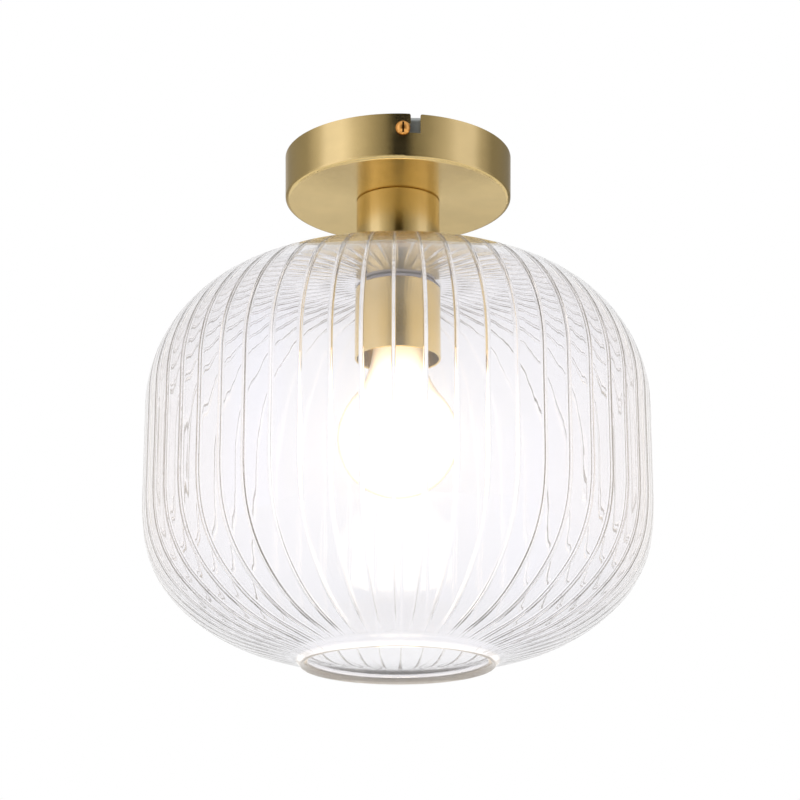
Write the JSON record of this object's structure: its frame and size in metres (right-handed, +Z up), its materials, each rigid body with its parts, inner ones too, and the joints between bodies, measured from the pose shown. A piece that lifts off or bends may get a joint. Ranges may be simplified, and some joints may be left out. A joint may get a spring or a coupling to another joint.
{
  "type": "flush mount ceiling light",
  "caption": "Ceiling light with a brass canopy on a bayonet bracket, a short neck, a fluted glass drum shade on a screw ring and a bulb in a ceramic lampholder.",
  "frame": {"origin": "middle of the bracket's upper face, on the ceiling plane", "axes": "+Z up into the ceiling, the light hangs towards -Z, -Y is the front with the visible lock screw"},
  "size_m": [0.25, 0.2498, 0.2637],
  "materials": {
    "zinc_steel": "zinc plated, dull",
    "satin_brass": "satin brushed round",
    "polished_brass": "polished",
    "plain_brass": "drawn, unfinished",
    "clear_glass": "clear, fluted",
    "silicone": "milky silicone",
    "ceramic": "white glazed ceramic",
    "spring_bronze": "spring bronze strip",
    "natural_plastic": "natural moulded plastic",
    "brown_wire": "brown insulation",
    "blue_wire": "blue insulation",
    "earth_wire": "green and yellow insulation",
    "frosted_glass": "frosted, lit warm white",
    "cap_metal": "drawn aluminium",
    "black_insulator": "black glass",
    "stem_glass": "clear stem",
    "filament": "lit phosphor stick"
  },
  "bodies": {
    "bracket": {"mounting_bracket": "zinc_steel", "bracket_earth_screw": "plain_brass", "bracket_earth_washer": "plain_brass"},
    "lock_screw_front": {"lock_screw_front": "polished_brass"},
    "lock_screw_rear": {"lock_screw_rear": "polished_brass"},
    "shade_ring": {"shade_ring": "satin_brass"},
    "bulb": {"bulb_envelope": "frosted_glass", "bulb_cap": "cap_metal", "bulb_insulator": "black_insulator", "bulb_tip_contact": "cap_metal", "bulb_stem": "stem_glass", "bulb_filament_1": "filament", "bulb_filament_2": "filament", "bulb_filament_3": "filament", "bulb_filament_4": "filament"},
    "canopy": {"canopy": "satin_brass", "nipple": "zinc_steel", "canopy_lock_washer": "zinc_steel", "earth_tag": "plain_brass", "canopy_nut": "zinc_steel", "neck": "satin_brass", "holder_sleeve": "zinc_steel", "sleeve_lock_washer": "zinc_steel", "sleeve_nut": "zinc_steel", "upper_gasket": "silicone", "glass_shade": "clear_glass", "lower_gasket": "silicone", "holder_bridge": "zinc_steel", "bridge_screw_left": "zinc_steel", "bridge_screw_right": "zinc_steel", "holder_body": "ceramic", "screw_shell": "plain_brass", "centre_contact": "spring_bronze", "terminal_block": "natural_plastic", "live_wire": "brown_wire", "neutral_wire": "blue_wire", "earth_wire": "earth_wire", "terminal_insert_live": "plain_brass", "terminal_insert_earth": "plain_brass", "terminal_insert_neutral": "plain_brass", "terminal_screw_1": "zinc_steel", "terminal_screw_2": "zinc_steel", "terminal_screw_3": "zinc_steel", "terminal_screw_4": "zinc_steel", "terminal_screw_5": "zinc_steel", "terminal_screw_6": "zinc_steel"}
  },
  "joints": [
    {"name": "canopy_twist", "type": "hinge", "parent": "bracket", "child": "canopy", "pos_m": [0, 0, 0], "axis": [0, 0, 1], "range_deg": [-6.2, 0]},
    {"name": "lock_front_turn", "type": "hinge", "parent": "bracket", "child": "lock_screw_front", "pos_m": [0, -0.05795, -0.0077], "axis": [0, -1, 0], "range_deg": [0, 720]},
    {"name": "lock_rear_turn", "type": "hinge", "parent": "bracket", "child": "lock_screw_rear", "pos_m": [0, 0.05795, -0.0077], "axis": [0, 1, 0], "range_deg": [0, 720]},
    {"name": "shade_ring_unscrew", "type": "hinge", "parent": "canopy", "child": "shade_ring", "pos_m": [0, 0, -0.0695], "axis": [0, 0, -1], "range_deg": [0, 1080]},
    {"name": "bulb_out", "type": "slide", "parent": "canopy", "child": "bulb", "axis": [0, 0, -1], "range_m": [0, 0.2]}
  ]
}
